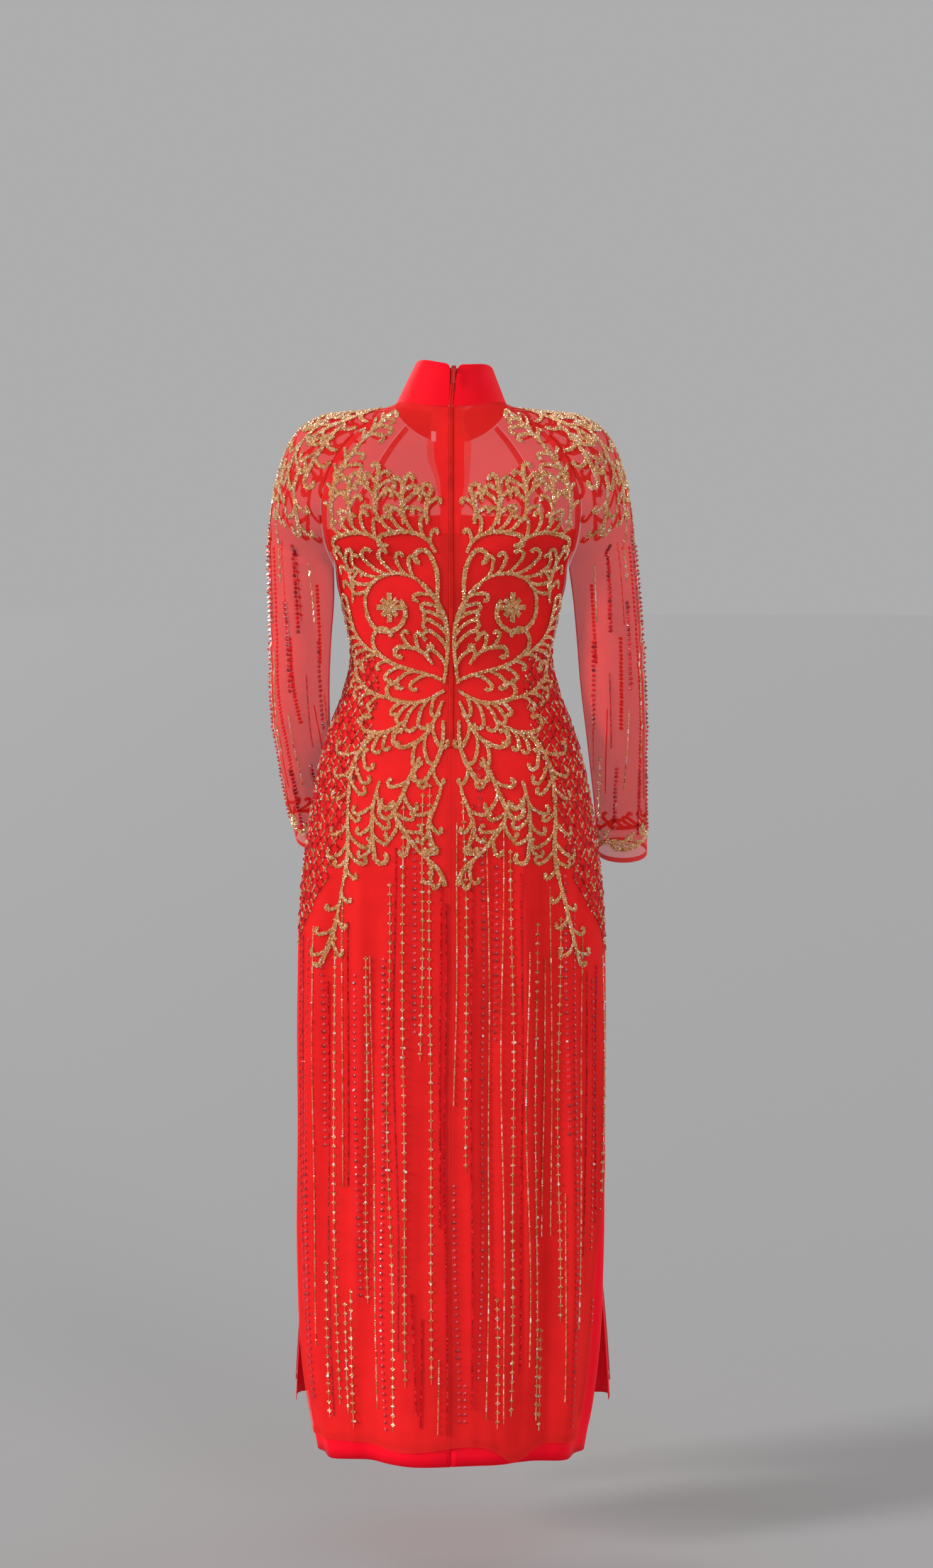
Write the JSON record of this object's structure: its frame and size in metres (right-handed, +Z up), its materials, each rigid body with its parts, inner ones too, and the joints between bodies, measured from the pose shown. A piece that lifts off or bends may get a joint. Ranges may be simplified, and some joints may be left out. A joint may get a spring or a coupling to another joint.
{
  "type": "ao dai tunic",
  "caption": "Worn ao dai tunic with stand collar, sheer raglan sleeves and yoke, open sides below the waist and a centre back zip whose pull tab swings.",
  "frame": {"origin": "middle of the neck opening, level with the neck seam at the centre back, where the wearer's neck and shoulders hold the tunic", "axes": "+Z up the wearer's body, +Y the way the wearer faces, +X to the wearer's right"},
  "size_m": [0.4992, 0.2891, 1.4284],
  "materials": {
    "sheer_mesh": "soft sheer net, red",
    "lining_satin": "bright red satin lining with a soft sheen",
    "collar_satin": "matt red satin, interlined",
    "zip_tape": "woven red tape",
    "zip_coil": "red nylon coil",
    "zip_metal": "red painted metal, worn at the edges",
    "label_cloth": "plain white woven tape, blank",
    "gold_beads": "gold lined glass seed beads",
    "red_beads": "dark red glass beads and sequins",
    "crystal": "clear cut crystal on a foil back",
    "thread": "red sewing thread and turned hems"
  },
  "bodies": {
    "garment": {"collar": "collar_satin", "back_mesh_left": "sheer_mesh", "back_mesh_right": "sheer_mesh", "front_mesh": "sheer_mesh", "sleeve_left": "sheer_mesh", "sleeve_right": "sheer_mesh", "back_lining_left": "lining_satin", "back_lining_right": "lining_satin", "front_lining": "lining_satin", "zip_tape_left": "zip_tape", "zip_tape_right": "zip_tape", "zip_chain": "zip_coil", "zip_slider": "zip_metal", "label": "label_cloth"},
    "pull_tab": {"zip_pull": "zip_metal"}
  },
  "joints": [
    {"name": "pull_swing", "type": "hinge", "parent": "garment", "child": "pull_tab", "pos_m": [0.00349, -0.0531, 0.0494], "axis": [-1, 0, 0], "range_deg": [0, 160]}
  ]
}
